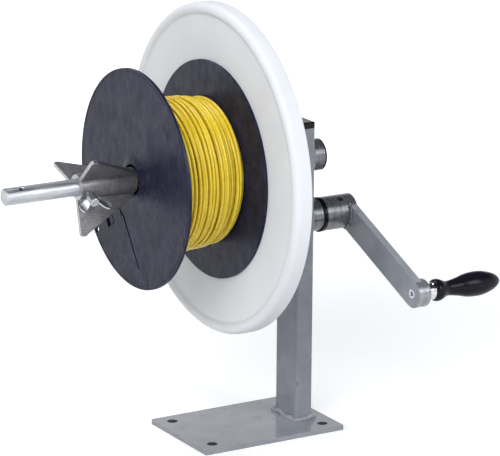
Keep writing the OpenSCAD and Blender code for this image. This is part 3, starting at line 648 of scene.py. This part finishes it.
def make_winding():
    """The cable, turn by turn from the drum to the outside, with its whole length in the turns."""
    front, rear = span_of("wire_winding")
    wire = 2.0 * MM
    step = 2 * wire
    turns = 20
    layers = 11
    shown_layers = 3
    drum = 50 * MM
    end_gap = 0.3 * MM
    most_lift = 0.9 * MM
    barrel = 3.4 * MM
    top_r = radius_of("wire_winding") - wire - most_lift
    low_x = front + wire + end_gap
    high_x = rear - wire - end_gap
    bm = bmesh.new()
    for layer in range(layers):
        outer = layer >= layers - shown_layers
        steps, sides = (96, 10) if outer else (32, 6)
        drift_mm, lean_mm, tilt_mm, lift_mm = (5.6, 3.8, 2.4, 2.8) if outer else (4.6, 2.6, 0.5, 0)
        path = []
        for k in range(turns * steps + 1):
            turn = layer * turns + k / steps
            along = (k / steps) / turns
            share = along if layer % 2 == 0 else 1 - along
            a = 2 * math.pi * k / steps
            drift = drift_mm * noise.noise(Vector((0.55 * turn, 3.7, layer)))
            lean = lean_mm * noise.noise(Vector((1.15 * turn, 9.1, layer)))
            x = low_x + (high_x - low_x) * share + (drift + lean) * MM
            x -= tilt_mm * MM * share * (1 - math.sin(a))
            x = min(max(x, low_x), high_x)
            bulge = barrel * (2 * share - 0.9) ** 2
            lift = lift_mm * MM * noise.noise(Vector((0.8 * turn, 5.2, layer)))
            r = top_r - (layers - 1 - layer) * step - bulge * layer / (layers - 1) + min(lift, most_lift)
            r = max(r, drum + wire)
            path.append(Vector((x, r * math.cos(a), SPOOL_Z + r * math.sin(a))))
        add_tube(bm, path, wire, sides)
    obj = object_from("wire_turns", bm)
    finish_piece(obj, YELLOW, "reel", "wire_winding")


def make_cone():
    axis = (0, SPOOL_Z)
    hub = softened("cone_hub_soft", "cone_hub", 0.5 * MM, STEEL_TUBE, "cone", axis=axis)
    # front faces: the sawn finish, and a painted highlight on the faces that look to the light
    front_faces(hub, CUT_STEEL_AND_PAINTED_HIGHLIGHT)
    for i in (1, 2, 3):
        fin = softened(f"cone_fin_{i}_soft", f"cone_fin_{i}", 0.5 * MM, STEEL, "cone")
        front_faces(fin, CUT_STEEL_AND_PAINTED_HIGHLIGHT)
    dress("cone_welds", WELD)
    softened("wing_screw_soft", "wing_screw", 0.5 * MM, ZINC_PRESSED, "wing_screw", 2)


def make_spool():
    softened("spool_shaft_soft", "spool_shaft", 0.3 * MM, ZINC, "spool", 2, axis=(0, SPOOL_Z))
    for node in ("spool_gear", "spacer_tube", "disc_hub", "disc_hub_pin", "spool_gear_key"):
        dress(node, MACHINED)
    for node in ("disc_screws", "driver_pin", "spool_washer"):
        dress(node, ZINC)
    for node in ("spool_gear_screw", "spool_circlip"):
        dress(node, BLACK_STEEL)


def make_crank_welds():
    """A bead in the corner between the hub and the arm's front; its darker turned paint is the hub's,
    and also painted shade in that corner.
    """
    off_metal = 0.4 * MM
    bead = 2.2 * MM
    half_turn = 1.1
    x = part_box("crank_arm")[0].x - off_metal
    radius = radius_of("crank_hub", CRANK_Z) + off_metal
    middle = math.atan2(GRIP_Z - CRANK_Z, GRIP_Y)
    bm = bmesh.new()
    path = arc_path(x, radius, CRANK_Z, middle - half_turn, middle + half_turn, 44)
    weld_bead(bm, path, bead, Vector((1, 0, 0)), 5.0, closed=False)
    # painted shade: the bead's darker turned paint darkens the corner at the arm's root
    finish_piece(object_from("crank_weld_bead", bm), PAINT_TURNED, "crank", "crank_welds")


def make_crank():
    axis = (0, CRANK_Z)
    handle = (GRIP_Y, GRIP_Z)
    softened("crank_hub_soft", "crank_hub", 0.8 * MM, PAINT_TURNED, "crank", axis=axis)
    softened("crank_arm_soft", "crank_arm", 0.8 * MM, PAINT, "crank")
    boss = softened("handle_boss_soft", "handle_boss", 0.6 * MM, PAINT_BOSS, "crank", axis=handle)
    front_faces(boss, PAINT)
    make_crank_welds()
    dress("crank_shaft", ZINC)
    for node in ("crank_gear", "crank_gear_key"):
        dress(node, MACHINED)
    dress("crank_washer", ZINC)
    for node in ("crank_gear_screw", "crank_circlip", "crank_set_screw"):
        dress(node, BLACK_STEEL)
    softened("grip_spindle_soft", "grip_spindle", 0.3 * MM, CHROME, "crank", 2, axis=handle)
    dress("grip", POLISHED)


# Stage


def make_floor():
    """Pale floor, painted dark under the plate as shade; what is seen of it glows to white, less so near
    the object.
    """
    half = 14.0
    edge = 1 * MM
    white = 0.8
    near = 0.5
    far = 1.8
    glow_near = 0.52
    mesh = bpy.data.meshes.new("floor")
    corners = [(-half, -half, 0), (half, -half, 0), (half, half, 0), (-half, half, 0)]
    mesh.from_pydata(corners, [], [(0, 1, 2, 3)])
    floor = bpy.data.objects.new("floor", mesh)
    bpy.context.scene.collection.objects.link(floor)
    material = bpy.data.materials.new("pale_floor")
    material.use_nodes = True
    nodes = material.node_tree.nodes
    links = material.node_tree.links
    nodes.clear()
    output = nodes.new("ShaderNodeOutputMaterial")
    diffuse = nodes.new("ShaderNodeBsdfDiffuse")
    coordinates = nodes.new("ShaderNodeTexCoord")
    distance = nodes.new("ShaderNodeVectorMath")
    distance.operation = "LENGTH"
    level = nodes.new("ShaderNodeMapRange")
    level.interpolation_type = "SMOOTHSTEP"
    level.inputs["From Min"].default_value = near
    level.inputs["From Max"].default_value = far
    level.inputs["To Min"].default_value = glow_near
    level.inputs["To Max"].default_value = 1 / white
    low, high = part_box("base_plate")
    beyond = nodes.new("ShaderNodeVectorMath")
    beyond.operation = "SUBTRACT"
    beyond.inputs[1].default_value = (low + high) / 2
    size = nodes.new("ShaderNodeVectorMath")
    size.operation = "ABSOLUTE"
    split = nodes.new("ShaderNodeSeparateXYZ")
    sides = []
    for axis in (0, 1):
        side = nodes.new("ShaderNodeMapRange")
        side.inputs["From Min"].default_value = (high[axis] - low[axis]) / 2 - edge
        side.inputs["From Max"].default_value = (high[axis] - low[axis]) / 2
        links.new(split.outputs[axis], side.inputs["Value"])
        sides.append(side)
    outside = nodes.new("ShaderNodeMath")
    outside.operation = "MAXIMUM"
    # painted shade: nearly black under the plate, in both the floor's colour and its glow
    shade = nodes.new("ShaderNodeValToRGB")
    shade.color_ramp.elements[0].color = (0.03, 0.03, 0.034, 1)
    shade.color_ramp.elements[1].color = (white, white, white, 1)
    glow = nodes.new("ShaderNodeEmission")
    both = nodes.new("ShaderNodeAddShader")
    mix = nodes.new("ShaderNodeMixShader")
    links.new(coordinates.outputs["Object"], distance.inputs[0])
    links.new(distance.outputs["Value"], level.inputs["Value"])
    links.new(coordinates.outputs["Object"], beyond.inputs[0])
    links.new(beyond.outputs["Vector"], size.inputs[0])
    links.new(size.outputs["Vector"], split.inputs["Vector"])
    links.new(sides[0].outputs["Result"], outside.inputs[0])
    links.new(sides[1].outputs["Result"], outside.inputs[1])
    links.new(outside.outputs[0], shade.inputs["Fac"])
    links.new(shade.outputs["Color"], diffuse.inputs["Color"])
    links.new(shade.outputs["Color"], glow.inputs["Color"])
    links.new(level.outputs["Result"], glow.inputs["Strength"])
    links.new(diffuse.outputs[0], both.inputs[0])
    links.new(glow.outputs[0], both.inputs[1])
    links.new(seen_rays(nodes, links), mix.inputs["Fac"])
    links.new(diffuse.outputs[0], mix.inputs[1])
    links.new(both.outputs[0], mix.inputs[2])
    links.new(mix.outputs[0], output.inputs["Surface"])
    mesh.materials.append(material)


def seen_rays(nodes, links):
    """1 for camera, glossy and transmission rays, and 0 for the others."""
    path = nodes.new("ShaderNodeLightPath")
    first = nodes.new("ShaderNodeMath")
    first.operation = "MAXIMUM"
    second = nodes.new("ShaderNodeMath")
    second.operation = "MAXIMUM"
    links.new(path.outputs["Is Camera Ray"], first.inputs[0])
    links.new(path.outputs["Is Glossy Ray"], first.inputs[1])
    links.new(first.outputs[0], second.inputs[0])
    links.new(path.outputs["Is Transmission Ray"], second.inputs[1])
    return second.outputs[0]


def make_world():
    """A pale studio that is white at the horizon and darker overhead."""
    world = bpy.data.worlds.new("studio")
    bpy.context.scene.world = world
    world.use_nodes = True
    nodes = world.node_tree.nodes
    links = world.node_tree.links
    background = nodes["Background"]
    coordinates = nodes.new("ShaderNodeTexCoord")
    split = nodes.new("ShaderNodeSeparateXYZ")
    ramp = nodes.new("ShaderNodeValToRGB")
    elements = ramp.color_ramp.elements
    elements[0].position = 0.3
    elements[0].color = (1, 1, 1, 1)
    elements[1].position = 0.56
    elements[1].color = (0.05, 0.052, 0.06, 1)
    seen = seen_rays(nodes, links)
    level = nodes.new("ShaderNodeMapRange")
    level.inputs["To Min"].default_value = 0.55
    level.inputs["To Max"].default_value = 1.0
    links.new(coordinates.outputs["Generated"], split.inputs["Vector"])
    links.new(split.outputs["Z"], ramp.inputs["Fac"])
    links.new(ramp.outputs["Color"], background.inputs["Color"])
    links.new(seen, level.inputs["Value"])
    links.new(level.outputs["Result"], background.inputs["Strength"])


def make_lamp(name, place, target, size, watts):
    data = bpy.data.lights.new(name, "AREA")
    data.shape = "RECTANGLE"
    data.size, data.size_y = size
    data.energy = watts
    data.color = (0.96, 0.98, 1.0)
    lamp = bpy.data.objects.new(name, data)
    lamp.location = place
    lamp.rotation_euler = (Vector(target) - Vector(place)).to_track_quat("-Z", "Y").to_euler()
    bpy.context.scene.collection.objects.link(lamp)


def make_lamps():
    target = (-0.1, 0, 0.3)
    make_lamp("key_lamp", (-2.6, -2.0, 2.45), target, (2.3, 2.3), 102)
    make_lamp("side_lamp", (1.0, -2.2, 1.6), target, (1.2, 1.3), 27)
    make_lamp("top_lamp", (-0.3, 0.8, 2.4), target, (1.2, 1.2), 24)


def make_camera():
    """Camera whose place and turn come from the solved view, with no shift."""
    azimuth = math.radians(AZIMUTH)
    elevation = math.radians(ELEVATION)
    roll = math.radians(ROLL)
    away = Vector((math.sin(azimuth), math.cos(azimuth), 0))
    upright = Vector((0, 0, 1))
    right = Vector((math.cos(azimuth), -math.sin(azimuth), 0))
    up = math.sin(elevation) * away + math.cos(elevation) * upright
    back = math.sin(elevation) * upright - math.cos(elevation) * away
    rolled_right = math.cos(roll) * right + math.sin(roll) * up
    rolled_up = -math.sin(roll) * right + math.cos(roll) * up
    place = DISTANCE * back - OFFSET_RIGHT * rolled_right - OFFSET_UP * rolled_up
    place += Vector((COLUMN_X, 0, 0))
    data = bpy.data.cameras.new("photo_camera")
    data.sensor_width = SENSOR
    data.lens = SENSOR * FOCAL_PX / PHOTO_W
    data.clip_end = 60
    camera = bpy.data.objects.new("photo_camera", data)
    turn = Matrix((rolled_right, rolled_up, back)).transposed()
    camera.matrix_world = Matrix.Translation(place) @ turn.to_4x4()
    bpy.context.scene.collection.objects.link(camera)
    bpy.context.scene.camera = camera


make_camera()
make_stand()
make_disc()
make_reel()
make_winding()
make_cone()
make_spool()
make_crank()
make_floor()
make_world()
make_lamps()
bpy.context.scene.view_settings.view_transform = "Standard"
